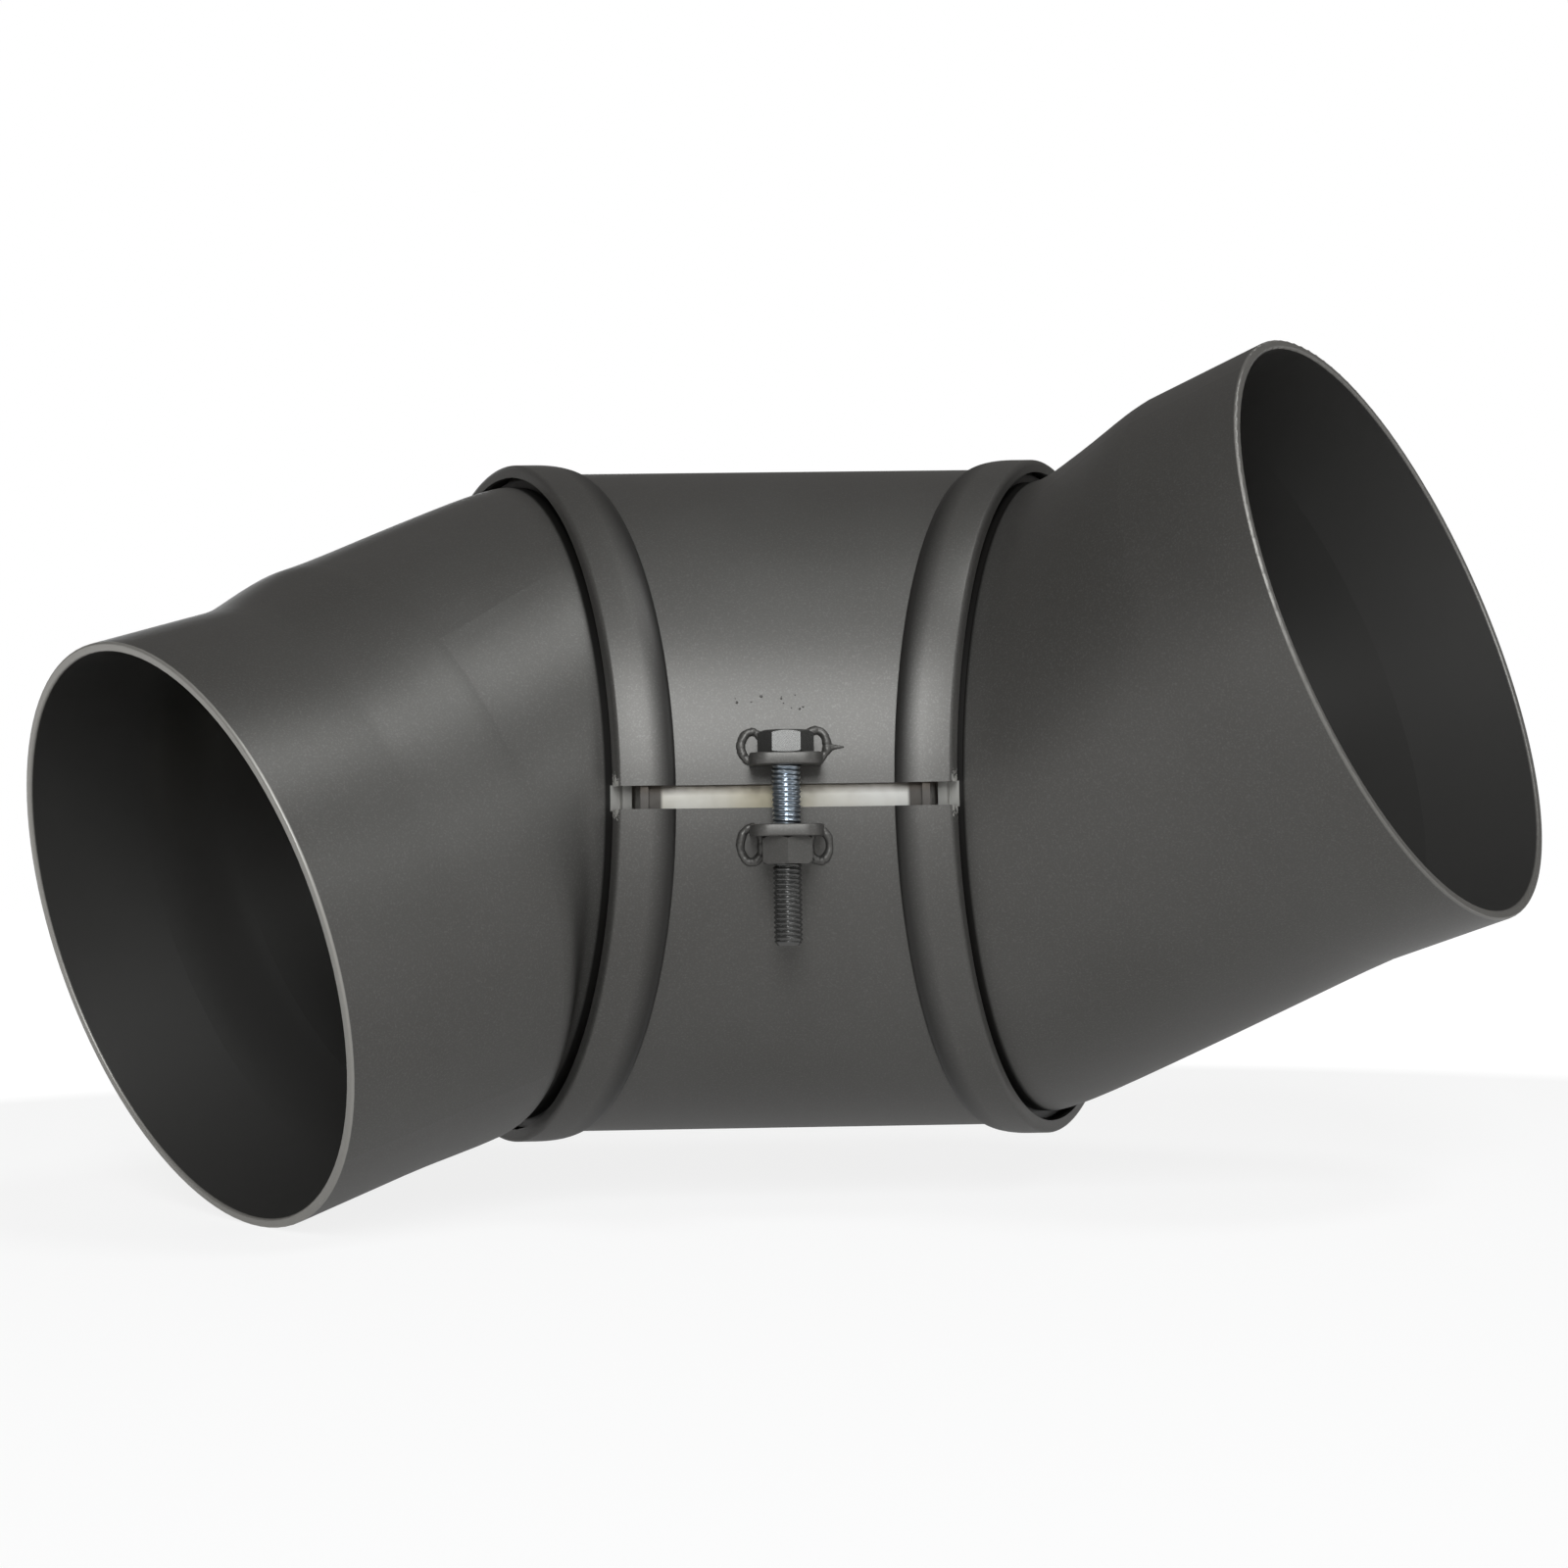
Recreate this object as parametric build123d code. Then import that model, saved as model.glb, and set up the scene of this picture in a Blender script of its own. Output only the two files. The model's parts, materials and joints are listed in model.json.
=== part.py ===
from build123d import *
import os
from math import cos, pi, radians, sin, sqrt

os.makedirs("parts", exist_ok=True)

# Pipe sizes (mm)
pipe_bore = 130.0
pipe_wall = 2.0
slip_clearance = 0.4
socket_depth = 28.0
socket_length = 92.5
spigot_depth = 28.0
neck_down_length = 24.0
neck_down_reach = 8.0
spigot_length = 89.0
shoulder_radius = 67.5
shoulder_shift = 2.5
rim_round = 0.5

# Swivel rings: each ring plane leans by the mitre angle, and each pipe leans by it again
mitre_angle = 22.5
ring_offset = 64.5
neck_radius = 73.2
blend_length = 6.0
blend_steps = 6
throat_shift = 6.0
flange_width = 1.7
flange_thickness = 2.0
flange_inset = 2.4
swivel_clearance = 0.4

# How far each end is turned about its ring from the tightest bend (degrees)
spigot_turn = -48.0
socket_turn = -57.0

# Clamp band and the liner under it
band_step = 2.8
band_sheet = 1.0
bead_height = 2.2
bead_width = 13.0
bead_crest = 6.5
bead_edge_drop = 2.8
bead_steps = 4
split_gap = 4.8
split_height = -1.2
lip_clearance = 0.5
liner_clearance = 0.4
liner_sheet = 1.5
liner_flange_clearance = 0.3

# Clamp lugs with their weld beads
lug_width = 15.0
lug_thickness = 2.5
lug_spacing = 12.0
lug_end_margin = 6.5
lug_corner_round = 4.0
lug_hole = 6.6
weld_radius = 2.3
weld_length = 5.0

# Clamp screw and nut
screw_diameter = 5.9
screw_length = 39.2
screw_stand_off = 7.6
screw_end_chamfer = 0.7
hex_across_flats = 10.0
head_height = 4.6
nut_height = 5.6
nut_bore = 6.0
hex_edge_chamfer = 0.5
head_turn = 0.0
nut_turn = 30.0

# Derived sizes
body_radius = pipe_bore / 2 + pipe_wall
spigot_radius = pipe_bore / 2 - slip_clearance
lean = radians(mitre_angle)
flange_radius = neck_radius + flange_width
flange_end = flange_inset + flange_thickness
liner_start = flange_end + swivel_clearance
band_radius = neck_radius + band_step
bead_radius = band_radius + bead_height
band_front = -band_radius * cos(lean)
screw_front = band_front - screw_stand_off
far = 3 * band_radius
neck_end = Plane.XY.offset(swivel_clearance)

# Ring planes: local Z runs out of the band and local X towards the throat of the bend
left_ring = Plane(
    origin=(-ring_offset, 0, 0),
    x_dir=(sin(lean), -cos(lean), 0),
    z_dir=(-cos(lean), -sin(lean), 0),
)
right_ring = Plane(
    origin=(ring_offset, 0, 0),
    x_dir=(-sin(lean), -cos(lean), 0),
    z_dir=(cos(lean), -sin(lean), 0),
)


def pipe_station(distance, shift=throat_shift):
    """Plane square to a leaning pipe, this far along it and shifted to the ring's throat side."""
    return Plane(
        origin=(distance * sin(lean) + shift * cos(lean), 0, distance * cos(lean) - shift * sin(lean)),
        x_dir=(cos(lean), 0, -sin(lean)),
        z_dir=(sin(lean), 0, cos(lean)),
    )


def profile(points):
    """Face in the XZ plane from radius and height pairs."""
    return make_face(Polyline([(r, 0, z) for r, z in points], close=True))


def transition(start, start_radius, end, end_radius, reach):
    """Sheet wall between two circles, leaving each one along its own axis for about this reach."""
    skins = []
    for inset in (0, pipe_wall):
        controls = [
            (start.origin, start.x_dir, start_radius - inset),
            (start.origin + start.z_dir * reach, start.x_dir, start_radius - inset),
            (end.origin - end.z_dir * reach, end.x_dir, end_radius - inset),
            (end.origin, end.x_dir, end_radius - inset),
        ]
        skins.append(loft([blended_oval(controls, step / blend_steps) for step in range(blend_steps + 1)]))
    return skins[0] - skins[1]


def blended_oval(controls, share):
    """Oval at this share of the way through four control circles."""
    weights = [(1 - share) ** 3, 3 * share * (1 - share) ** 2, 3 * share ** 2 * (1 - share), share ** 3]
    middle = Vector(0, 0, 0)
    across = Vector(0, 0, 0)
    half_width = 0
    for weight, (origin, direction, radius) in zip(weights, controls):
        middle += origin * weight
        across += direction * (weight * radius)
        half_width += weight * radius
    plane = Plane(origin=middle, x_dir=across, z_dir=across.cross(Vector(0, 1, 0)))
    return plane * Ellipse(across.length, half_width)


def pipe_end(radius, start, end):
    """Plain round end of a segment with its rim deburred."""
    wall = profile([(radius - pipe_wall, start), (radius, start), (radius, end), (radius - pipe_wall, end)])
    tube = revolve(wall, Axis.Z)
    return pipe_station(0).location * fillet(tube.edges().group_by(Axis.Z)[-1], rim_round)


def ring_flange():
    """Short neck through the band's lip, turned outward into the flange that the band traps."""
    section = profile([
        (neck_radius - pipe_wall, swivel_clearance),
        (neck_radius, swivel_clearance),
        (neck_radius, -flange_inset),
        (flange_radius, -flange_inset),
        (flange_radius, -flange_end),
        (neck_radius - pipe_wall, -flange_end),
    ])
    return revolve(section, Axis.Z)


def socket_segment():
    station = socket_length - socket_depth
    body = transition(neck_end, neck_radius, pipe_station(station), body_radius, blend_length)
    return ring_flange() + body + pipe_end(body_radius, station, socket_length)


def spigot_segment():
    """The shoulder is off centre, so the neck-down fades out on the throat side."""
    station = spigot_length - spigot_depth
    shoulder = pipe_station(station - neck_down_length, throat_shift - shoulder_shift)
    body = transition(neck_end, neck_radius, shoulder, shoulder_radius, blend_length)
    neck_down = transition(shoulder, shoulder_radius, pipe_station(station), spigot_radius, neck_down_reach)
    return ring_flange() + body + neck_down + pipe_end(spigot_radius, station, spigot_length)


def gore(radius, inset):
    """Solid slice between the ring planes moved in by this much: round in every ring plane."""
    oval = Plane.YZ * Ellipse(radius * cos(lean), radius)
    body = extrude(oval, amount=far, both=True)
    for ring in (left_ring, right_ring):
        body = split(body, bisect_by=ring.offset(-inset), keep=Keep.BOTTOM)
    return body


def gore_rims(radius, start, end):
    """The two end slices of a gore, from one inset to another."""
    return gore(radius, start) - gore(radius + band_sheet, end)


def bead_profile(inset):
    """Outside radius of the band's rim: a rounded ridge from its rolled edge to its foot on the band."""
    if inset < bead_crest:
        rise = sqrt(1 - (1 - inset / bead_crest) ** 2)
        return bead_radius - bead_edge_drop * (1 - rise)
    fall = 1 - sqrt(1 - ((inset - bead_crest) / (bead_width - bead_crest)) ** 2)
    return bead_radius - bead_height * fall


def rolled_rim(ring, start, sheet):
    """Solid rim of the band from an inset to the bead's foot, this much inside its outer skin."""
    turns = [pi / 2 * step / bead_steps for step in range(bead_steps + 1)]
    insets = [start + (bead_crest - start) * (1 - cos(turn)) for turn in turns[:-1]]
    insets += [bead_crest + (bead_width - bead_crest) * sin(turn) for turn in turns]
    inward = 1 if ring.origin.X < 0 else -1
    slices = []
    for inset in insets:
        middle = ring.origin + Vector(inward * inset / cos(lean), 0, 0)
        slice_plane = Plane(origin=middle, x_dir=ring.x_dir, z_dir=ring.z_dir)
        slices.append(slice_plane * Circle(bead_profile(inset) - sheet))
    return loft(slices)


def clamp_band():
    body = gore(band_radius, bead_width)
    hollow = gore(band_radius - band_sheet, bead_width)
    for ring in (left_ring, right_ring):
        body += rolled_rim(ring, 0, 0)
        hollow += rolled_rim(ring, band_sheet, band_sheet)
        hollow += ring.location * Cylinder(neck_radius + lip_clearance, 4 * band_sheet)
    split_cut = Box(far, band_radius, split_gap, align=(Align.CENTER, Align.MAX, Align.CENTER))
    return body - hollow - Pos(0, 0, split_height) * split_cut


def inner_liner():
    outside = band_radius - band_sheet - liner_clearance
    flange = bead_radius - band_sheet - liner_flange_clearance
    body = gore(outside, liner_start) + gore_rims(flange, liner_start, liner_start + liner_sheet)
    return body - gore(outside - liner_sheet, 0)


def clamp_lug(side):
    """Drilled tab above (side 1) or below (side -1) the split, with its two weld beads."""
    near = band_front + band_sheet
    plate = Rectangle(lug_width, near - screw_front + lug_end_margin, align=(Align.CENTER, Align.MAX))
    outer_corners = plate.vertices().group_by(Axis.Y)[0]
    plate = fillet(outer_corners, lug_corner_round)
    plate -= Pos(0, screw_front - near) * Circle(lug_hole / 2)
    low = split_height + side * lug_spacing / 2
    body = extrude(Pos(0, near, low) * plate, amount=side * lug_thickness)
    for x in (-lug_width / 2, lug_width / 2):
        start = low + side * lug_thickness / 2
        end = start + side * weld_length
        body += Pos(x, band_front, (start + end) / 2) * Cylinder(weld_radius, weld_length)
        for z in (start, end):
            body += Pos(x, band_front, z) * Sphere(weld_radius)
    return body - gore(band_radius, 0)


def hexagon(height, turn):
    """Hexagon block with chamfered corners, standing on the XY plane."""
    outline = RegularPolygon(hex_across_flats / 2, 6, major_radius=False)
    block = extrude(Rot(0, 0, turn) * outline, amount=height)
    corner_radius = hex_across_flats / 2 / cos(pi / 6)
    blank = Cylinder(corner_radius, height, align=(Align.CENTER, Align.CENTER, Align.MIN))
    blank = chamfer(blank.edges().filter_by(GeomType.CIRCLE), hex_edge_chamfer)
    return block & blank


def clamp_screw():
    seat = split_height + lug_spacing / 2 + lug_thickness
    shank = Cylinder(screw_diameter / 2, screw_length, align=(Align.CENTER, Align.CENTER, Align.MAX))
    tip = shank.edges().filter_by(GeomType.CIRCLE).sort_by(Axis.Z)[0]
    shank = chamfer(tip, screw_end_chamfer)
    return Pos(0, screw_front, seat) * (shank + hexagon(head_height, head_turn))


def clamp_nut():
    seat = split_height - lug_spacing / 2 - lug_thickness
    body = hexagon(nut_height, nut_turn) - Cylinder(nut_bore / 2, 3 * nut_height)
    return Pos(0, screw_front, seat - nut_height) * body


socket_place = right_ring.location * Rot(0, 0, socket_turn)
spigot_place = left_ring.location * Rot(0, 0, spigot_turn)
socket_mouth = (socket_place * pipe_station(socket_length).location).position

nodes = {
    "spigot_segment": spigot_place * spigot_segment(),
    "socket_segment": socket_place * socket_segment(),
    "clamp_band": clamp_band(),
    "inner_liner": inner_liner(),
    "upper_lug": clamp_lug(1),
    "lower_lug": clamp_lug(-1),
    "clamp_screw": clamp_screw(),
    "clamp_nut": clamp_nut(),
}

# The origin is the middle of the socket's mouth
for name, solid in nodes.items():
    export_step(Pos(-socket_mouth) * solid, f"parts/{name}.step")
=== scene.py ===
import bpy
import bmesh
import json
import math
import random
from mathutils import Euler, Matrix, Vector, noise


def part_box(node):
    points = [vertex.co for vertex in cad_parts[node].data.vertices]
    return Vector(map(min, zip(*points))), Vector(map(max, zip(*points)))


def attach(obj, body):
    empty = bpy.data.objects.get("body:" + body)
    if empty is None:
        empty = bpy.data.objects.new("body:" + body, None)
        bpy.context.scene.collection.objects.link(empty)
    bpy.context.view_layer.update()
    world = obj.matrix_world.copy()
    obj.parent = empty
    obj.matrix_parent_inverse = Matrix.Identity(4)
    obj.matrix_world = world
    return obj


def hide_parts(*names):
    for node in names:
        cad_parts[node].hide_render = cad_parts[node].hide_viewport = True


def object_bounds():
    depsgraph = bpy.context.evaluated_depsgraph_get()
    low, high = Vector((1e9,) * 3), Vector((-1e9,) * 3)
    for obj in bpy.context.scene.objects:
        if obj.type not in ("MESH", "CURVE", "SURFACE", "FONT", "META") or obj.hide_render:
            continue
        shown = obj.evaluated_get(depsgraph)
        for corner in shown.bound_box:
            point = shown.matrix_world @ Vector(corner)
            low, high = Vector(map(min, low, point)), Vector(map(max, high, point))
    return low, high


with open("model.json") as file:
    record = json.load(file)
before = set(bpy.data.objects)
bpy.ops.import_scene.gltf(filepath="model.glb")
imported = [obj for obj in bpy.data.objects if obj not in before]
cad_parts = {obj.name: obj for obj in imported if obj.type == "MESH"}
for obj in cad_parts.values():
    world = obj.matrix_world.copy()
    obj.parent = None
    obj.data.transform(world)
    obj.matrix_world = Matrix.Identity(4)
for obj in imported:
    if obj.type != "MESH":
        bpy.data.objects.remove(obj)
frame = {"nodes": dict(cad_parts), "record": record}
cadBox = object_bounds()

mm = 0.001
scene = bpy.context.scene
scene.view_settings.view_transform = "Standard"


def midPoint(box):
    return (Vector(box[0]) + Vector(box[1])) / 2


clampCentre = midPoint(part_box("clamp_band"))
joints = {joint["name"]: joint for joint in frame["record"]["behaviour"]["joints"]}
swivels = [joints["spigot_swivel"], joints["socket_swivel"]]
mounts = {mount["name"]: mount for mount in frame["record"]["mounts"]}
splitMid = midPoint((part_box("upper_lug")[0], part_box("lower_lug")[1]))
bandSize = {"radius": 76.0 * mm, "lean": 22.5}
lugSpacing = 6.0 * mm  # from the split to each lug


# node helpers

def newMaterial(name):
    mat = bpy.data.materials.new(name)
    mat.use_nodes = True
    tree = mat.node_tree
    tree.nodes.clear()
    out = tree.nodes.new("ShaderNodeOutputMaterial")
    shader = tree.nodes.new("ShaderNodeBsdfPrincipled")
    tree.links.new(shader.outputs["BSDF"], out.inputs["Surface"])
    return mat, tree, shader


def addNode(tree, kind, **values):
    node = tree.nodes.new("ShaderNode" + kind)
    for key, value in values.items():
        if hasattr(node, key):
            setattr(node, key, value)
        else:
            node.inputs[key].default_value = value
    return node


def objectCoords(tree):
    return addNode(tree, "TexCoord").outputs["Object"]  # stays with the piece at every pose


def noiseOf(tree, coords, scale, detail=2.0):
    node = addNode(tree, "TexNoise", Scale=scale, Detail=detail, Roughness=0.5)
    tree.links.new(coords, node.inputs["Vector"])
    return node.outputs["Fac"]


def rampOf(tree, source, stops):
    node = addNode(tree, "ValToRGB")
    ramp = node.color_ramp
    while len(ramp.elements) < len(stops):
        ramp.elements.new(0.5)
    for element, (place, colour) in zip(ramp.elements, stops):
        element.position = place
        element.color = (*colour, 1.0)
    tree.links.new(source, node.inputs["Fac"])
    return node.outputs["Color"]


def grey(value):
    return (value, value, value)


def mapped(tree, source, low, high, toLow, toHigh):
    node = addNode(tree, "MapRange", clamp=True)
    node.inputs["From Min"].default_value = low
    node.inputs["From Max"].default_value = high
    node.inputs["To Min"].default_value = toLow
    node.inputs["To Max"].default_value = toHigh
    tree.links.new(source, node.inputs["Value"])
    return node.outputs["Result"]


def mixColours(tree, factor, first, second):
    node = addNode(tree, "Mix", data_type="RGBA", blend_type="MIX")
    pins = {"Factor": factor, "A": first, "B": second}
    for pin in node.inputs:
        value = pins.get(pin.name)
        if value is None or pin.type not in ("RGBA", "VALUE") or not pin.enabled:
            continue
        if pin.type == "RGBA" and not isinstance(value, bpy.types.NodeSocket):
            value = (*value, 1.0)
        feed(tree, pin, value)
    return next(pin for pin in node.outputs if pin.type == "RGBA")


def feed(tree, pin, value):
    if isinstance(value, bpy.types.NodeSocket):
        tree.links.new(value, pin)
    else:
        pin.default_value = value


def mathOf(tree, operation, first, second):
    node = addNode(tree, "Math", operation=operation)
    for pin, value in zip(node.inputs, (first, second)):
        feed(tree, pin, value)
    return node.outputs["Value"]


def planeDistance(tree, coords, point, normal):
    # signed distance from a plane, in the piece's own space
    node = addNode(tree, "VectorMath", operation="DOT_PRODUCT")
    tree.links.new(coords, node.inputs[0])
    node.inputs[1].default_value = normal
    return mathOf(tree, "SUBTRACT", node.outputs["Value"], Vector(point).dot(Vector(normal)))


insideFacing = (-0.1, -0.4)  # cosine to the way out, from turning in to facing in


def facesInward(tree, coords, point, axis):
    # one where the surface looks towards the pipe's axis, which is its inside
    offset = addNode(tree, "VectorMath", operation="SUBTRACT")
    tree.links.new(coords, offset.inputs[0])
    offset.inputs[1].default_value = point
    along = addNode(tree, "VectorMath", operation="PROJECT")
    tree.links.new(offset.outputs["Vector"], along.inputs[0])
    along.inputs[1].default_value = axis
    outward = addNode(tree, "VectorMath", operation="SUBTRACT")
    tree.links.new(offset.outputs["Vector"], outward.inputs[0])
    tree.links.new(along.outputs["Vector"], outward.inputs[1])
    unit = addNode(tree, "VectorMath", operation="NORMALIZE")
    tree.links.new(outward.outputs["Vector"], unit.inputs[0])
    facing = addNode(tree, "VectorMath", operation="DOT_PRODUCT")
    tree.links.new(unit.outputs["Vector"], facing.inputs[0])
    tree.links.new(addNode(tree, "TexCoord").outputs["Normal"], facing.inputs[1])
    return mapped(tree, facing.outputs["Value"], *insideFacing, 0.0, 1.0)


def nearPlane(tree, coords, place, low, high, blur):
    # one between two distances along a mount's or joint's axis
    depth = planeDistance(tree, coords, place["pos_m"], place["axis"])
    above = mapped(tree, depth, low - blur, low + blur, 0.0, 1.0)
    below = mapped(tree, depth, high + blur, high - blur, 0.0, 1.0)
    return mathOf(tree, "MULTIPLY", above, below)


def aboveSplit(tree, coords):
    return planeDistance(tree, coords, splitMid, (0, 0, 1))


def fromSplit(tree, coords):
    return mathOf(tree, "ABSOLUTE", aboveSplit(tree, coords), 0.0)


def frontHalf(tree, coords):
    # one on the side of the clamp that has the split
    forward = planeDistance(tree, coords, clampCentre, (0, -1, 0))
    return mapped(tree, forward, 0.0, 1.0 * mm, 0.0, 1.0)


def leftOver(tree, mask):
    return mathOf(tree, "SUBTRACT", 1.0, mask)


def bumpOf(tree, height, strength, distance):
    node = addNode(tree, "Bump", Strength=strength, Distance=distance)
    tree.links.new(height, node.inputs["Height"])
    return node.outputs["Normal"]


def applyFinish(tree, shader, colour, rough, metal, normal=None):
    for pin, value in (("Base Color", colour), ("Roughness", rough), ("Metallic", metal)):
        feed(tree, shader.inputs[pin], value)
    if normal is not None:
        tree.links.new(normal, shader.inputs["Normal"])


# heat-resistant paint over sheet steel

paintFinish = {
    "dark": (0.082, 0.079, 0.074),
    "light": (0.094, 0.091, 0.086),
    "speckle": (0.140, 0.137, 0.131),
    "speckleShare": 0.5,
    "metallic": 0.6,
    "roughLow": 0.43,
    "roughHigh": 0.48,
    "speckleScale": 2600.0,
    "speckleDetail": 1.0,
    "speckleFrom": 0.50,
    "speckleTo": 0.78,
    "cloudScale": 18.0,
    "cloudDetail": 4.0,
    "cloudFrom": 0.35,
    "cloudTo": 0.68,
    "grainBump": 0.10,
    "grainHeight": 0.1 * mm,
}
noiseSpan = (0.3, 0.7)  # where most of a noise's values lie


def paintNodes(tree):
    finish = paintFinish
    coords = objectCoords(tree)
    cloud = noiseOf(tree, coords, finish["cloudScale"], finish["cloudDetail"])
    grain = noiseOf(tree, coords, finish["speckleScale"], finish["speckleDetail"])
    base = rampOf(tree, cloud, [(finish["cloudFrom"], finish["dark"]), (finish["cloudTo"], finish["light"])])
    fleck = rampOf(tree, grain, [(finish["speckleFrom"], grey(0.0)),
                                 (finish["speckleTo"], grey(finish["speckleShare"]))])
    colour = mixColours(tree, fleck, base, finish["speckle"])
    rough = mapped(tree, cloud, *noiseSpan, finish["roughLow"], finish["roughHigh"])
    normal = bumpOf(tree, grain, finish["grainBump"], finish["grainHeight"])
    return coords, colour, rough, normal


def makePaint(name):
    mat, tree, shader = newMaterial(name)
    _, colour, rough, normal = paintNodes(tree)
    applyFinish(tree, shader, colour, rough, paintFinish["metallic"], normal)
    return mat


# bare sheet steel of the liner and of the flanges under the band

bareFinish = {
    "bright": (0.36, 0.355, 0.335),
    # tone of the real stains, also used for the painted shadow of the screw
    "stainAndShadowTone": (0.24, 0.215, 0.15),
    # painted shade for the recess behind each flange
    "recess": (0.05, 0.045, 0.04),
    "recessFrom": 6.4 * mm,
    "recessTo": 9.6 * mm,
    "recessBlur": 0.3 * mm,
    "flange": (0.06, 0.055, 0.05),
    "flangeBlur": 0.1 * mm,
    # reach and strength of the painted shadow of the screw and lug
    "screwShadowReach": 24.0 * mm,
    "screwShadowEdge": 2.0 * mm,
    "screwShadowShare": 0.85,
    "shade": (0.05, 0.04, 0.03),
    "shadeFrom": 0.3 * mm,
    "shadeTo": 1.8 * mm,
    "shadeShare": 0.8,
    "roughLow": 0.34,
    "roughHigh": 0.50,
    "metallic": 0.6,
    "grainScale": 600.0,
    "grainBump": 0.1,
    "grainHeight": 0.1 * mm,
    "stainScale": 40.0,
    "stainDetail": 3.0,
    "stainFrom": 0.42,
    "stainTo": 0.70,
}


def makeBareSteel(name):
    mat, tree, shader = newMaterial(name)
    finish = bareFinish
    coords = objectCoords(tree)
    grain = noiseOf(tree, coords, finish["grainScale"])
    stain = noiseOf(tree, coords, finish["stainScale"], finish["stainDetail"])
    colour = rampOf(tree, stain, [(finish["stainFrom"], finish["bright"]),
                                  (finish["stainTo"], finish["stainAndShadowTone"])])
    for swivel in swivels:
        # painted shade in the recess behind each flange, and the liner dark out under the flange
        paintedRecessShade = nearPlane(tree, coords, swivel, -finish["recessTo"], -finish["recessFrom"],
                          finish["recessBlur"])
        colour = mixColours(tree, paintedRecessShade, colour, finish["recess"])
        flange = nearPlane(tree, coords, swivel, -finish["recessFrom"], 0.0, finish["flangeBlur"])
        colour = mixColours(tree, flange, colour, finish["flange"])
    # painted shadow of the screw and lug: yellower and darker towards the screw on the left
    along = planeDistance(tree, coords, splitMid, (1, 0, 0))
    screwShadow = mapped(tree, along, -finish["screwShadowReach"], -finish["screwShadowEdge"], 0.0, finish["screwShadowShare"])
    screwShadow = mathOf(tree, "MULTIPLY", screwShadow, mapped(tree, along, 0.0, finish["screwShadowEdge"], 1.0, 0.0))
    colour = mixColours(tree, screwShadow, colour, finish["stainAndShadowTone"])
    height = aboveSplit(tree, coords)
    shade = mapped(tree, height, finish["shadeFrom"], finish["shadeTo"], 0.0, finish["shadeShare"])
    colour = mixColours(tree, shade, colour, finish["shade"])
    rough = mapped(tree, grain, *noiseSpan, finish["roughLow"], finish["roughHigh"])
    normal = bumpOf(tree, grain, finish["grainBump"], finish["grainHeight"])
    applyFinish(tree, shader, colour, rough, finish["metallic"], normal)
    return mat


# clamp band: the paint has flaked off its rolled edges beside the split, and painted shade darkens each
# bead's inner flank towards its foot

bandChipAndShadeFinish = {
    "colour": (0.50, 0.49, 0.46),
    "rimFrom": -0.3 * mm,
    "rimTo": 0.3 * mm,
    "rimBlur": 0.15 * mm,
    "halfHeight": 8.5 * mm,
    "heightBlur": 0.3 * mm,
    "edgeScale": 1600.0,
    "edgeWander": 9.0 * mm,
    # painted shade on the inner flank of each bead
    "flankFrom": 6.4 * mm,
    "flankFull": 10.2 * mm,
    "flankTo": 11.85 * mm,
    "footBlur": 0.1 * mm,
    "flankShade": (0.018, 0.017, 0.016),
    "flankShare": 0.85,
}


def makeBandPaint(name):
    mat, tree, shader = newMaterial(name)
    finish = bandChipAndShadeFinish
    coords, colour, rough, normal = paintNodes(tree)
    wander = noiseOf(tree, coords, finish["edgeScale"])
    wander = mathOf(tree, "MULTIPLY", wander, finish["edgeWander"])
    height = mathOf(tree, "ADD", fromSplit(tree, coords), wander)
    half = finish["halfHeight"]
    bySplit = mapped(tree, height, half, half - finish["heightBlur"], 0.0, 1.0)
    bySplit = mathOf(tree, "MULTIPLY", bySplit, frontHalf(tree, coords))
    for swivel in swivels:
        rim = nearPlane(tree, coords, swivel, -finish["rimTo"], -finish["rimFrom"], finish["rimBlur"])
        colour = mixColours(tree, mathOf(tree, "MULTIPLY", rim, bySplit), colour, finish["colour"])
        # painted shade, darker towards the foot of the bead
        depth = planeDistance(tree, coords, swivel["pos_m"], swivel["axis"])
        foot = -finish["flankTo"]
        paintedFlankShade = mapped(tree, depth, -finish["flankFrom"], -finish["flankFull"], 0.0, finish["flankShare"])
        onBead = mapped(tree, depth, foot - finish["footBlur"], foot, 0.0, 1.0)
        colour = mixColours(tree, mathOf(tree, "MULTIPLY", paintedFlankShade, onBead), colour, finish["flankShade"])
    applyFinish(tree, shader, colour, rough, paintFinish["metallic"], normal)
    return mat


# each end segment: painted outside, darker inside as painted shade, bare on the flange that stands inside the
# band

segmentFinish = {
    # darker copy of the paint for the inside, as painted shade
    "inside": (0.075, 0.073, 0.070),
    "rimColour": (0.30, 0.29, 0.27),
    "spigotRim": 1.0,
    "socketRim": 0.4,
    "rimDepth": 0.6 * mm,
    "rimOver": 1.0 * mm,
    "rimBlur": 0.1 * mm,
    # painted shade in the gap beside the band
    "gapShade": (0.012, 0.011, 0.010),
    "gapReach": 0.9 * mm,
    "gapBlur": 0.3 * mm,
    "bareFrom": 2.9 * mm,
    "bareOver": 0.3 * mm,
    "rubbedHalf": 2.5 * mm,
    "rubbedBlur": 0.3 * mm,
    "rubbedFrom": 0.3 * mm,
    "rubbedDepth": 6.0 * mm,
    "rubbedEdge": 0.1 * mm,
}


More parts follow.
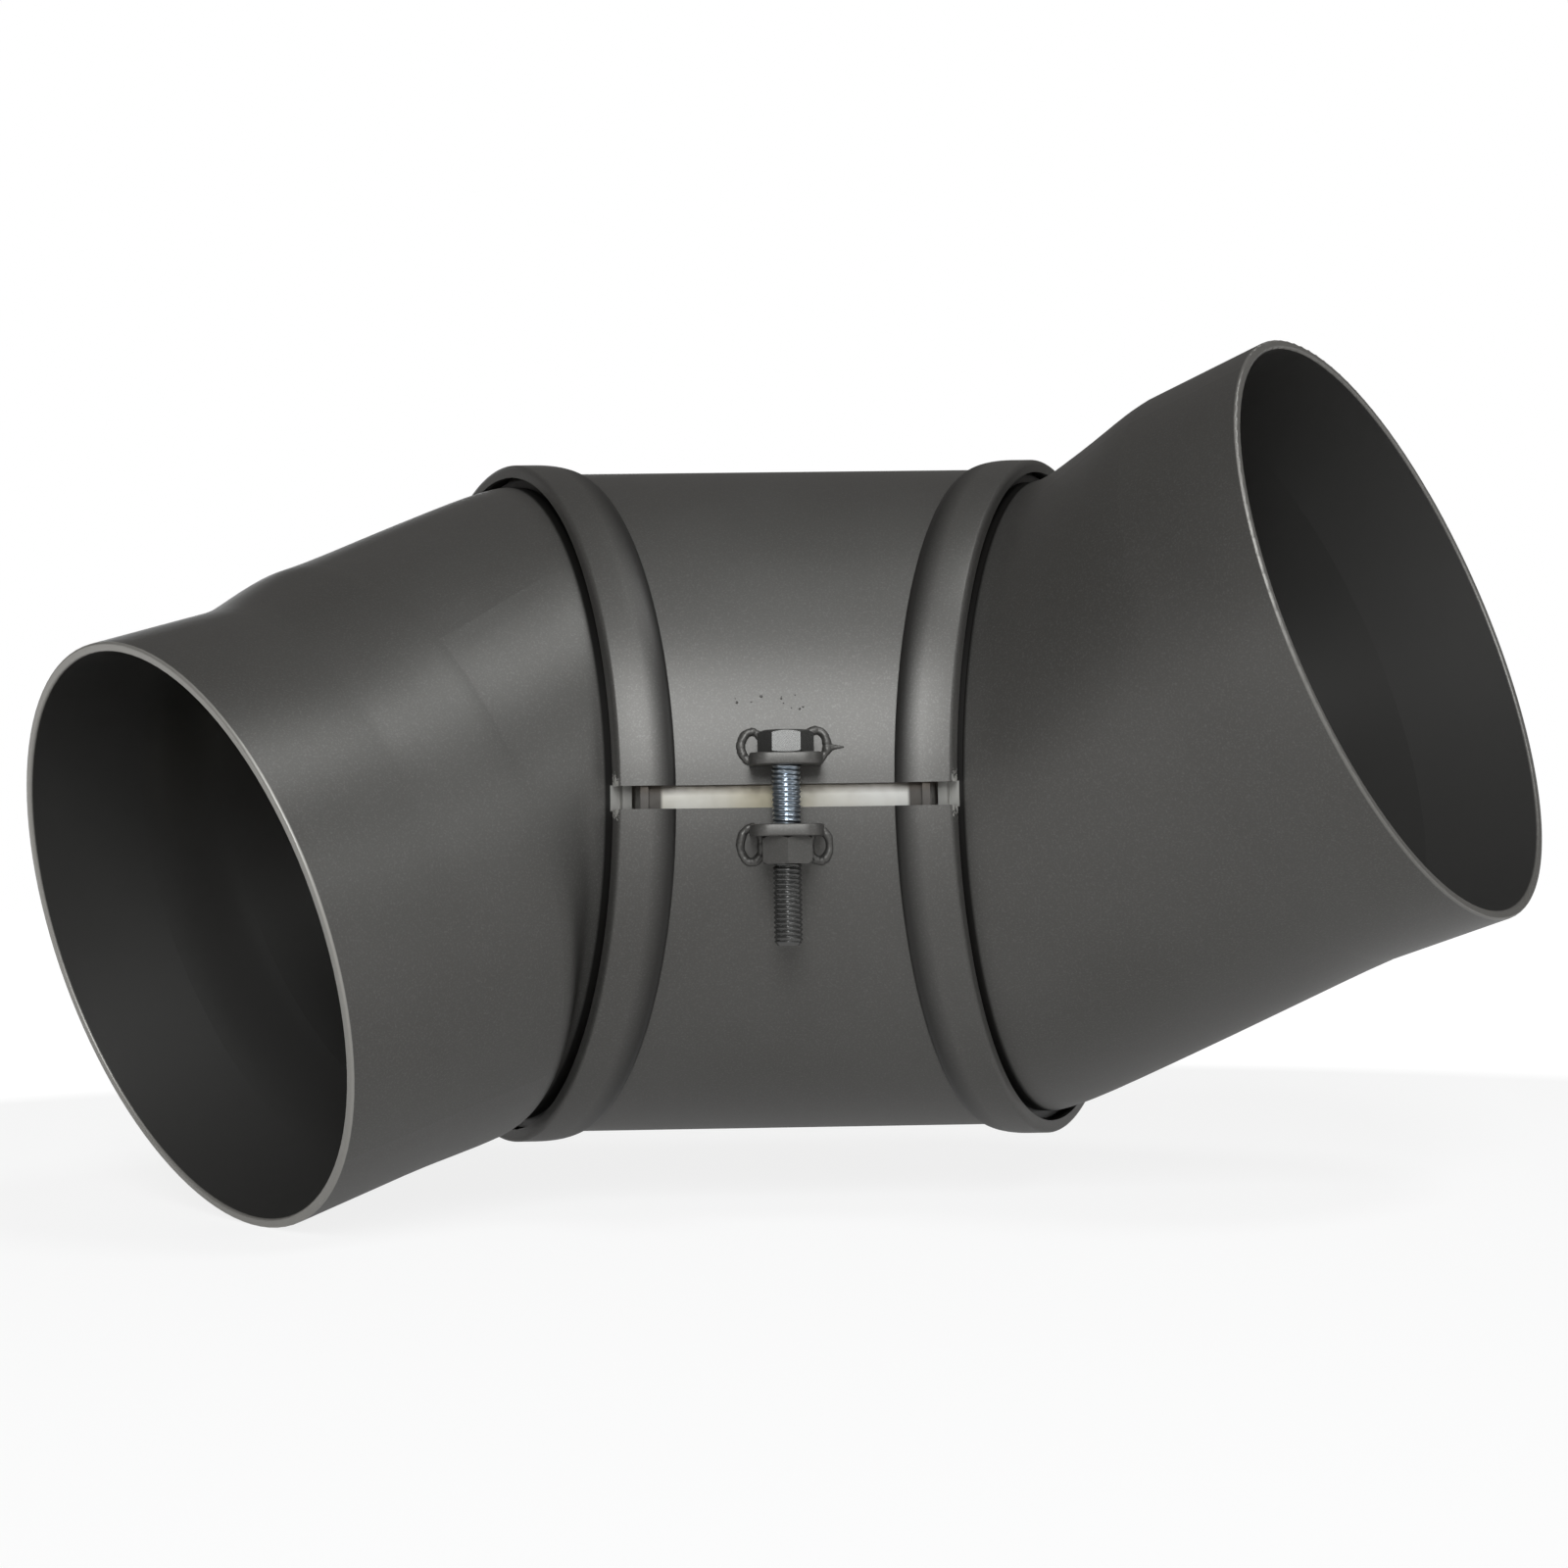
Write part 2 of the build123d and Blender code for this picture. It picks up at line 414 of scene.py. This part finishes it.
def makeSegmentPaint(name, end):
    mat, tree, shader = newMaterial(name)
    finish = segmentFinish
    joint, mount = joints[end + "_swivel"], mounts["pipe_" + end]
    coords, colour, rough, normal = paintNodes(tree)
    inside = facesInward(tree, coords, mount["pos_m"], mount["axis"])
    outside = leftOver(tree, inside)
    # painted shade: inward-facing surfaces get a darker copy of the paint
    colour = mixColours(tree, inside, colour, finish["inside"])
    rim = nearPlane(tree, coords, mount, -finish["rimDepth"], finish["rimOver"], finish["rimBlur"])
    colour = mixColours(tree, mathOf(tree, "MULTIPLY", rim, finish[end + "Rim"]), colour, finish["rimColour"])
    # painted shade in the gap where the neck enters the band
    paintedGapShade = nearPlane(tree, coords, joint, -finish["bareFrom"], finish["gapReach"], finish["gapBlur"])
    colour = mixColours(tree, mathOf(tree, "MULTIPLY", paintedGapShade, outside), colour, finish["gapShade"])
    depth = planeDistance(tree, coords, joint["pos_m"], joint["axis"])
    bare = mapped(tree, depth, -finish["bareFrom"], -finish["bareFrom"] - finish["bareOver"], 0.0, 1.0)
    # rubbed bright where the split shows it
    half = finish["rubbedHalf"]
    rubbed = mapped(tree, fromSplit(tree, coords), half + finish["rubbedBlur"], half, 0.0, 1.0)
    rubbed = mathOf(tree, "MULTIPLY", rubbed, frontHalf(tree, coords))
    neck = nearPlane(tree, coords, joint, -finish["rubbedDepth"], -finish["rubbedFrom"], finish["rubbedEdge"])
    bare = mathOf(tree, "MAXIMUM", bare, mathOf(tree, "MULTIPLY", rubbed, neck))
    bare = mathOf(tree, "MULTIPLY", bare, outside)
    colour = mixColours(tree, bare, colour, bareFinish["bright"])
    metal = mapped(tree, bare, 0.0, 1.0, paintFinish["metallic"], bareFinish["metallic"])
    applyFinish(tree, shader, colour, rough, metal, normal)
    return mat


# zinc screw, painted over where the spray reached it

screwFinish = {
    "zinc": (0.42, 0.47, 0.52),
    "zincRough": 0.30,
    "worn": (0.17, 0.17, 0.166),
    # darker copy of the worn paint for the tail, as painted shade
    "tailShade": (0.11, 0.11, 0.108),
    "wornMetal": 0.8,
    "wornRough": 0.27,
    "paintAbove": 6.0 * mm,
    "paintBelow": -6.0 * mm,
    "paintBlur": 0.4 * mm,
    "sprayShare": 0.3,
}


def makeScrewMetal(name):
    mat, tree, shader = newMaterial(name)
    finish = screwFinish
    coords, sprayed, _, _ = paintNodes(tree)
    height = aboveSplit(tree, coords)
    top, bottom, blur = finish["paintAbove"], finish["paintBelow"], finish["paintBlur"]
    above = mapped(tree, height, top - blur, top, 0.0, 1.0)
    below = mapped(tree, height, bottom + blur, bottom, 0.0, 1.0)
    painted = mathOf(tree, "MAXIMUM", above, below)
    # painted shade: the tail below the nut gets a darker copy of the head's worn paint
    worn = mixColours(tree, below, finish["worn"], finish["tailShade"])
    worn = mixColours(tree, finish["sprayShare"], worn, sprayed)
    colour = mixColours(tree, painted, finish["zinc"], worn)
    rough = mapped(tree, painted, 0.0, 1.0, finish["zincRough"], finish["wornRough"])
    metal = mapped(tree, painted, 0.0, 1.0, 1.0, finish["wornMetal"])
    applyFinish(tree, shader, colour, rough, metal)
    return mat


paint = makePaint("stovePaint")
bareSteel = makeBareSteel("bareSheet")
screwMetal = makeScrewMetal("screwMetal")
nodePaint = {
    "spigot_segment": makeSegmentPaint("spigotPaint", "spigot"),
    "socket_segment": makeSegmentPaint("socketPaint", "socket"),
    "clamp_band": makeBandPaint("bandPaint"),
    "inner_liner": bareSteel,
    "upper_lug": paint,
    "lower_lug": paint,
    "clamp_screw": screwMetal,
    "clamp_nut": paint,
}
for nodeName, mat in nodePaint.items():
    node = frame["nodes"][nodeName]
    node.data.materials.clear()
    node.data.materials.append(mat)
print("finishes set on", len(nodePaint), "nodes")


def addPiece(name, mesh, mat, body):
    piece = bpy.data.objects.new(name, mesh)
    scene.collection.objects.link(piece)
    mesh.materials.clear()
    mesh.materials.append(mat)
    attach(piece, body)
    return piece


def addMesh(name, verts, faces, mat, body):
    mesh = bpy.data.meshes.new(name)
    mesh.from_pydata(verts, [], faces)
    mesh.validate()
    return addPiece(name, mesh, mat, body)


# clamp band with flat-topped beads that curve down to a crease in the sheet

bandShape = {
    "ringOffset": 64.5 * mm,
    "sheet": 1.0 * mm,
    "lipRadius": 75.4 * mm,
    "beadRadius": 78.2 * mm,
    "edgeRoll": 0.8 * mm,
    "edgeDrop": 1.3 * mm,
    "flatEnd": 4.8 * mm,
    "foot": 11.8 * mm,
    "rollSteps": 9,
    "flankSteps": 12,
    "splitGap": 4.8 * mm,
    "around": 260,
    "smoothBelow": 16.0,
}


def beadProfile(shape):
    # inset and radius pairs of the outer skin and the inner one, from the lip to the bead's foot
    top = shape["beadRadius"]
    outer = [(0.0, shape["lipRadius"])]
    for step in range(shape["rollSteps"] + 1):
        turn = math.pi / 2 * step / shape["rollSteps"]
        inset = shape["edgeRoll"] * (1.0 - math.cos(turn))
        outer.append((inset, top - shape["edgeDrop"] * (1.0 - math.sin(turn))))
    reach, fall = shape["foot"] - shape["flatEnd"], top - bandSize["radius"]
    for step in range(shape["flankSteps"] + 1):
        turn = math.pi / 2 * step / shape["flankSteps"]
        inset = shape["flatEnd"] + reach * math.sin(turn)
        outer.append((inset, top - fall * (1.0 - math.cos(turn))))
    sheet = shape["sheet"]
    inner = [(sheet, shape["lipRadius"])]
    inner += [(max(inset, sheet), radius - sheet) for inset, radius in outer[1:]]
    return outer, inner


def bandPoint(shape, end, inset, radius, share):
    # a point of the skin, this share of the way round from the split's upper edge
    lean = math.radians(bandSize["lean"])
    splitZ = splitMid.z - clampCentre.z
    first = math.asin((splitZ + shape["splitGap"] / 2) / radius)
    last = math.tau + math.asin((splitZ - shape["splitGap"] / 2) / radius)
    turn = first + (last - first) * share
    forward = radius * math.cos(turn)
    x = -shape["ringOffset"] + inset / math.cos(lean) + forward * math.sin(lean)
    return clampCentre + Vector((-end * x, -forward * math.cos(lean), radius * math.sin(turn)))


def makeBand(shape):
    outer, inner = beadProfile(shape)
    skins = []
    for profile in (outer, inner):
        skins.append([(-1, *pair) for pair in profile] + [(1, *pair) for pair in reversed(profile)])
    section = skins[0] + skins[1][::-1]
    count, half, rows = len(section), len(skins[0]), shape["around"]
    verts, faces = [], []
    for row in range(rows + 1):
        verts += [bandPoint(shape, *place, row / rows) for place in section]
    for row in range(rows):
        for step in range(count):
            a, b = row * count + step, row * count + (step + 1) % count
            faces.append((a, b, b + count, a + count))
    for base in (0, rows * count):  # the cut edges of the split
        for step in range(half - 1):
            corners = (step, step + 1, count - 2 - step, count - 1 - step)
            faces.append(tuple(base + corner for corner in corners))
    piece = addMesh("beadedBand", verts, faces, nodePaint["clamp_band"], "clamp")
    shadeByAngle(piece, shape["smoothBelow"])
    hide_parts("clamp_band")


# clamp screw with its rolled thread

screwShape = {
    "pitch": 1.0 * mm,
    "threadDepth": 0.36 * mm,
    "headHeight": 4.6 * mm,
    "outerRadius": 2.95 * mm,
    "crestGain": 1.25,
    "crestCut": 0.06,
    "tipTaper": 0.9 * mm,
    "tipSlope": 0.8,
    "neck": 0.8 * mm,
    "around": 36,
    "perPitch": 8,
    "headAround": 48,
    "headChamfer": 30.0,
    "headFace": 0.94,
    "headUnder": 0.5,
    "smoothBelow": 22.0,
}


def threadRadius(shape, z, angle, length):
    outer = shape["outerRadius"]
    phase = (z / shape["pitch"] - angle / math.tau) % 1.0
    ridge = abs(2.0 * phase - 1.0)
    ridge = min(1.0, max(0.0, shape["crestGain"] * ridge - shape["crestCut"]))  # flat crests and roots
    radius = outer - shape["threadDepth"] * (1.0 - ridge)
    if z < shape["neck"]:
        radius = outer - shape["threadDepth"]
    fromTip = length - z
    if fromTip < shape["tipTaper"]:
        radius = min(radius, outer - shape["tipSlope"] * (shape["tipTaper"] - fromTip))
    return radius


def makeScrew(shape):
    low, high = (Vector(corner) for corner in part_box("clamp_screw"))
    axis = midPoint((low, high))
    flats = high.y - low.y
    seat = high.z - shape["headHeight"]
    length = seat - low.z
    rows = int(length / shape["pitch"] * shape["perPitch"])
    around = shape["around"]
    verts, faces = [], []
    for row in range(rows + 1):
        z = length * row / rows
        for step in range(around):
            angle = math.tau * step / around
            radius = threadRadius(shape, z, angle, length)
            verts.append((axis.x + radius * math.cos(angle), axis.y + radius * math.sin(angle), seat - z))
    for row in range(rows):
        for step in range(around):
            a = row * around + step
            b = row * around + (step + 1) % around
            faces.append((b, a, a + around, b + around))
    faces.append(tuple(range(around)))
    faces.append(tuple(reversed(range(rows * around, (rows + 1) * around))))
    piece = addMesh("threadedScrew", verts, faces, screwMetal, "screw")
    bm = bmesh.new()
    bm.from_mesh(piece.data)
    hexBlock(bm, axis, seat, shape, flats)
    bm.to_mesh(piece.data)
    bm.free()
    shadeByAngle(piece, shape["smoothBelow"])
    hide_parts("clamp_screw")


def hexBlock(bm, axis, bottom, shape, flats):
    # six flats whose corners are turned to a cone above and below
    around = shape["headAround"]
    slope = math.tan(math.radians(shape["headChamfer"]))
    topCircle = flats / 2 * shape["headFace"]
    height = shape["headHeight"]
    rings = [[], [], [], []]
    for step in range(around):
        angle = math.tau * step / around
        fromFlat = (angle + math.pi / 6) % (math.pi / 3) - math.pi / 6
        fromMiddle = fromFlat - math.pi / 6 if fromFlat > 0 else fromFlat + math.pi / 6
        radius = flats / 2 / math.cos(fromMiddle)
        drop = slope * (radius - topCircle)
        levels = ((topCircle, 0.0), (radius, drop * shape["headUnder"]),
                  (radius, height - drop), (topCircle, height))
        for ring, (reach, z) in zip(rings, levels):
            x, y = axis.x + reach * math.cos(angle), axis.y + reach * math.sin(angle)
            ring.append(bm.verts.new((x, y, bottom + z)))
    for lower, upper in zip(rings, rings[1:]):
        for step in range(around):
            after = (step + 1) % around
            bm.faces.new((lower[step], lower[after], upper[after], upper[step]))
    bm.faces.new(rings[-1])
    bm.faces.new(list(reversed(rings[0])))


def shadeByAngle(piece, degrees):
    mesh = piece.data
    bm = bmesh.new()
    bm.from_mesh(mesh)
    bmesh.ops.recalc_face_normals(bm, faces=bm.faces)
    limit = math.radians(degrees)
    for face in bm.faces:
        face.smooth = True
    for edge in bm.edges:
        edge.smooth = not (edge.is_manifold and edge.calc_face_angle(0.0) > limit)
    bm.to_mesh(mesh)
    bm.free()


makeBand(bandShape)
makeScrew(screwShape)
print("band rolled and screw threaded")


# lugs with the looped weld beads beside them, and the spatter above

lugShape = {
    "width": 15.0 * mm,
    "thickness": 2.5 * mm,
    "cornerRound": 4.0 * mm,
    "cornerSteps": 8,
    "straightSteps": 8,
    "holeRadius": 3.3 * mm,
    "edgeBevel": 0.35 * mm,
    "bevelSteps": 3,
    "faceInset": 0.7 * mm,
    "sink": 1.0 * mm,
    "smoothBelow": 50.0,
}

weldShape = {
    "tube": 0.95 * mm,
    "sizeSpread": (0.82, 1.1),
    "standOut": 1.1,
    "lumps": 40,
    "lumpDetail": 3,
    "voxel": 0.22 * mm,
    "ripple": 0.2 * mm,
    "rippleSize": 1.6 * mm,
    "dripLumps": 5,
    "dripSize": 0.85,
    "dripShrink": 0.13,
    "dripStart": 0.8,
    "dripStep": 0.75,
    "dripDrop": 0.5,
    "seed": 7,
    # middle beside the screw, middle beyond the lug's face, half width, half height
    "upperLeft": (-6.7 * mm, 1.7 * mm, 3.3 * mm, 4.0 * mm),
    "upperRight": (6.4 * mm, 1.9 * mm, 3.3 * mm, 4.0 * mm),
    "lowerLeft": (-7.2 * mm, 1.6 * mm, 3.2 * mm, 4.5 * mm),
    "lowerRight": (6.9 * mm, 1.8 * mm, 3.0 * mm, 4.2 * mm),
}


def bandSurface(x, z):
    # point on the outside of the oval band, at this height over the clamp's middle
    depth = bandSize["radius"] * math.cos(math.radians(bandSize["lean"]))
    forward = depth * math.sqrt(1.0 - (z / bandSize["radius"]) ** 2)
    return Vector((clampCentre.x + x, clampCentre.y - forward, clampCentre.z + z))


def addLump(bm, centre, radii, detail):
    place = Matrix.Translation(centre) @ Matrix.Diagonal((*radii, 1.0))
    bmesh.ops.create_icosphere(bm, subdivisions=detail, radius=1.0, matrix=place)


def remeshed(name, bm, voxel):
    mesh = bpy.data.meshes.new(name + "Raw")
    bm.to_mesh(mesh)
    bm.free()
    raw = bpy.data.objects.new(name + "Raw", mesh)
    scene.collection.objects.link(raw)
    skin = raw.modifiers.new("skin", "REMESH")
    skin.mode = "VOXEL"
    skin.voxel_size = voxel
    bpy.context.view_layer.update()
    solid = bpy.data.meshes.new_from_object(raw.evaluated_get(bpy.context.evaluated_depsgraph_get()))
    bpy.data.objects.remove(raw)
    bpy.data.meshes.remove(mesh)
    return solid


def lugOutline(shape, front, back, inset):
    # points round the plate moved in by this much: back edge, side, rounded free end, other side
    half = shape["width"] / 2 - inset
    bend = shape["cornerRound"] - inset
    corners = [Vector((half, back)), Vector((-half, back))]
    for side, start in ((-1, 180), (1, 270)):
        middle = Vector((side * (half - bend), front + shape["cornerRound"]))
        for step in range(shape["cornerSteps"] + 1):
            angle = math.radians(start + 90 * step / shape["cornerSteps"])
            corners.append(middle + bend * Vector((math.cos(angle), math.sin(angle))))
    points = []
    for place, corner in enumerate(corners):
        following = corners[(place + 1) % len(corners)]
        straight = (following - corner).length > shape["cornerRound"] / 2
        steps = shape["straightSteps"] if straight else 1
        points += [corner.lerp(following, step / steps) for step in range(steps)]
    return points


def makeLug(nodeName, side, shape):
    low, high = (Vector(corner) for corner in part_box(nodeName))
    middleX = (low.x + high.x) / 2
    screwY = midPoint(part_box("clamp_screw")).y
    thickness, bevel = shape["thickness"], shape["edgeBevel"]
    face = splitMid.z + side * lugSpacing
    bottom = face if side > 0 else face - thickness
    back = bandSurface(0.0, bottom - clampCentre.z).y + shape["sink"]
    # how far in and how high each loop lies, from the underside round the edge to the top
    levels = [(shape["faceInset"], 0.0)]
    for step in range(shape["bevelSteps"] + 1):
        turn = math.pi / 2 * step / shape["bevelSteps"]
        levels.append((bevel * (1.0 - math.sin(turn)), bevel * (1.0 - math.cos(turn))))
    levels += [(inset, thickness - rise) for inset, rise in reversed(levels)]
    verts, faces = [], []
    for inset, rise in levels:
        verts += [(middleX + x, y, bottom + rise) for x, y in lugOutline(shape, low.y, back, inset)]
    outline = lugOutline(shape, low.y, back, 0.0)
    for rise in (thickness, 0.0):
        for point in outline:
            reach = (point - Vector((0.0, screwY))).normalized() * shape["holeRadius"]
            verts.append((middleX + reach.x, screwY + reach.y, bottom + rise))
    around, loops = len(outline), len(levels) + 2
    for loop in range(loops):
        first, second = loop * around, (loop + 1) % loops * around
        for step in range(around):
            after = (step + 1) % around
            faces.append((first + step, first + after, second + after, second + step))
    piece = addMesh(nodeName + "Plate", verts, faces, paint, "clamp")
    shadeByAngle(piece, shape["smoothBelow"])
    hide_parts(nodeName)
    return face + side * thickness


def makeWeld(name, side, lugFace, shape):
    x, beyond, halfWide, halfHigh = shape[name]
    rng = random.Random(shape["seed"] + len(name) + side)
    screwX = midPoint(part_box("clamp_screw")).x - clampCentre.x
    middleZ = lugFace + side * beyond - clampCentre.z
    tube, detail = shape["tube"], shape["lumpDetail"]
    bm = bmesh.new()
    for step in range(shape["lumps"]):
        turn = math.tau * step / shape["lumps"]
        place = (x + (halfWide - tube) * math.cos(turn), middleZ + (halfHigh - tube) * math.sin(turn))
        size = tube * rng.uniform(*shape["sizeSpread"])
        addLump(bm, bandSurface(screwX + place[0], place[1]), (size, size * shape["standOut"], size), detail)
    if name == "upperRight":
        for step in range(shape["dripLumps"]):  # the drip that points away from the lug
            size = tube * (shape["dripSize"] - shape["dripShrink"] * step)
            reach = x + halfWide + (step - shape["dripStart"]) * tube * shape["dripStep"]
            centre = bandSurface(screwX + reach, middleZ - shape["dripDrop"] * tube)
            addLump(bm, centre, (size, size, size), detail)
    mesh = remeshed(name, bm, shape["voxel"])
    for vert in mesh.vertices:
        vert.co += vert.normal * shape["ripple"] * noise.noise(vert.co / shape["rippleSize"])
    for face in mesh.polygons:
        face.use_smooth = True
    addPiece(name + "Weld", mesh, paint, "clamp")


for nodeName, side, weldNames in (("upper_lug", 1, ("upperLeft", "upperRight")),
                                  ("lower_lug", -1, ("lowerLeft", "lowerRight"))):
    lugFace = makeLug(nodeName, side, lugShape)
    for weldName in weldNames:
        makeWeld(weldName, side, lugFace, weldShape)

spatterShape = {
    "count": 11,
    "smallest": 0.14 * mm,
    "largest": 0.34 * mm,
    "flatness": 0.6,
    "detail": 2,
    "xSpread": (-11.5 * mm, 4.0 * mm),
    "zSpread": (16.5 * mm, 20.0 * mm),
    "seed": 24,
}


def makeSpatter(shape):
    rng = random.Random(shape["seed"])
    bm = bmesh.new()
    for _ in range(shape["count"]):
        x = rng.uniform(*shape["xSpread"])
        z = rng.uniform(*shape["zSpread"])
        size = shape["smallest"] + (shape["largest"] - shape["smallest"]) * rng.random() ** 2
        addLump(bm, bandSurface(x, z), (size, shape["flatness"] * size, size), shape["detail"])
    mesh = bpy.data.meshes.new("weldSpatter")
    bm.to_mesh(mesh)
    bm.free()
    for face in mesh.polygons:
        face.use_smooth = True
    addPiece("weldSpatter", mesh, paint, "clamp")


makeSpatter(spatterShape)
print("welds and spatter made")


# floor, white surround and lights

stageShape = {
    "halfWidth": 6.0,
    "floorWhite": 0.86,
    "fadeFrom": 0.21,
    "fadeTo": 0.42,
    "whiteGlow": 1.04,
    "whiteShare": 0.8,
    "mirrorShare": 0.35,
}


def makeFloor(shape):
    low = cadBox[0][2]
    half = shape["halfWidth"]
    mesh = bpy.data.meshes.new("floor")
    signs = ((-1, -1), (1, -1), (1, 1), (-1, 1))
    corners = [(clampCentre.x + across * half, clampCentre.y + deep * half, low) for across, deep in signs]
    mesh.from_pydata(corners, [], [(0, 1, 2, 3)])
    floor = bpy.data.objects.new("floor", mesh)
    scene.collection.objects.link(floor)
    mat = bpy.data.materials.new("paleFloor")
    mat.use_nodes = True
    tree = mat.node_tree
    tree.nodes.clear()
    out = tree.nodes.new("ShaderNodeOutputMaterial")
    matte = addNode(tree, "BsdfDiffuse")
    matte.inputs["Color"].default_value = (*grey(shape["floorWhite"]), 1.0)
    glow = addNode(tree, "Emission")
    glow.inputs["Strength"].default_value = shape["whiteGlow"]
    # the floor keeps its shadow near the part and fades to plain white further out
    coords = objectCoords(tree)
    away = addNode(tree, "VectorMath", operation="DISTANCE")
    tree.links.new(coords, away.inputs[0])
    away.inputs[1].default_value = (clampCentre.x, clampCentre.y, low)
    fade = mapped(tree, away.outputs["Value"], shape["fadeFrom"], shape["fadeTo"], 0.0, 1.0)
    path = addNode(tree, "LightPath")
    seen = mathOf(tree, "MAXIMUM", path.outputs["Is Camera Ray"], path.outputs["Is Transmission Ray"])
    near = mathOf(tree, "MULTIPLY", seen, shape["whiteShare"])
    mirrored = mathOf(tree, "MULTIPLY", path.outputs["Is Glossy Ray"], shape["mirrorShare"])
    seen = mathOf(tree, "MAXIMUM", seen, path.outputs["Is Glossy Ray"])
    share = mathOf(tree, "MULTIPLY", fade, seen)
    share = mathOf(tree, "MAXIMUM", share, mathOf(tree, "MAXIMUM", near, mirrored))
    mix = addNode(tree, "MixShader")
    tree.links.new(share, mix.inputs["Fac"])
    tree.links.new(matte.outputs["BSDF"], mix.inputs[1])
    tree.links.new(glow.outputs["Emission"], mix.inputs[2])
    tree.links.new(mix.outputs["Shader"], out.inputs["Surface"])
    mesh.materials.append(mat)


roomLight = {
    "level": 0.11,
    "warmth": (1.0, 0.95, 0.89),
    "white": 1.0,
    "mirrorShare": 0.08,
}


def makeWorld(light):
    world = bpy.data.worlds.new("whiteRoom")
    scene.world = world
    world.use_nodes = True
    tree = world.node_tree
    tree.nodes.clear()
    out = tree.nodes.new("ShaderNodeOutputWorld")
    room = addNode(tree, "Background")
    room.inputs["Strength"].default_value = light["level"]
    room.inputs["Color"].default_value = (*light["warmth"], 1.0)
    white = addNode(tree, "Background")
    white.inputs["Strength"].default_value = light["white"]
    white.inputs["Color"].default_value = (*grey(1.0), 1.0)
    # the white surround is for the camera, and metal shows a little of it
    path = addNode(tree, "LightPath")
    seen = mathOf(tree, "MAXIMUM", path.outputs["Is Camera Ray"], path.outputs["Is Transmission Ray"])
    mirrored = mathOf(tree, "MULTIPLY", path.outputs["Is Glossy Ray"], light["mirrorShare"])
    mix = addNode(tree, "MixShader")
    tree.links.new(mathOf(tree, "MAXIMUM", seen, mirrored), mix.inputs["Fac"])
    tree.links.new(room.outputs["Background"], mix.inputs[1])
    tree.links.new(white.outputs["Background"], mix.inputs[2])
    tree.links.new(mix.outputs["Shader"], out.inputs["Surface"])


lampColour = (0.96, 0.985, 1.0)
lampPlan = {
    "frontSoftbox": {"from": (-0.05, -1.70, 0.72), "width": 0.45, "height": 1.0, "power": 26.0},
    "upperRight": {"from": (0.57, -0.57, 1.39), "width": 0.4, "height": 0.4, "power": 6.0},
    "rightFill": {"from": (1.45, -0.95, 0.60), "width": 0.5, "height": 0.4, "power": 3.5},
    "rearFill": {"from": (-0.5, 1.7, 0.35), "width": 0.8, "height": 0.6, "power": 4.0},
}


def makeLamps(plan):
    for name, lamp in plan.items():
        data = bpy.data.lights.new(name, "AREA")
        data.shape = "RECTANGLE"
        data.size = lamp["width"]
        data.size_y = lamp["height"]
        data.energy = lamp["power"]
        data.color = lampColour
        light = bpy.data.objects.new(name, data)
        light.location = clampCentre + Vector(lamp["from"])
        light.rotation_euler = (clampCentre - light.location).to_track_quat("-Z", "Y").to_euler()
        scene.collection.objects.link(light)


makeFloor(stageShape)
makeWorld(roomLight)
makeLamps(lampPlan)
print("stage lit")


# camera at the photograph's viewing angle

cameraView = {
    "place": (-13.79 * mm, -608.46 * mm, -17.25 * mm),  # from the middle of the clamp
    "turn": (91.962, 0.847, -1.411),
    "lens": 59.88,
    "sensor": 36.0,
    "clipStart": 0.01,
}
camData = bpy.data.cameras.new("camera")
camData.sensor_width = cameraView["sensor"]
camData.lens = cameraView["lens"]
camData.clip_start = cameraView["clipStart"]
camera = bpy.data.objects.new("camera", camData)
camera.location = clampCentre + Vector(cameraView["place"])
camera.rotation_euler = Euler([math.radians(angle) for angle in cameraView["turn"]], "XYZ")
scene.collection.objects.link(camera)
scene.camera = camera
print("camera placed")
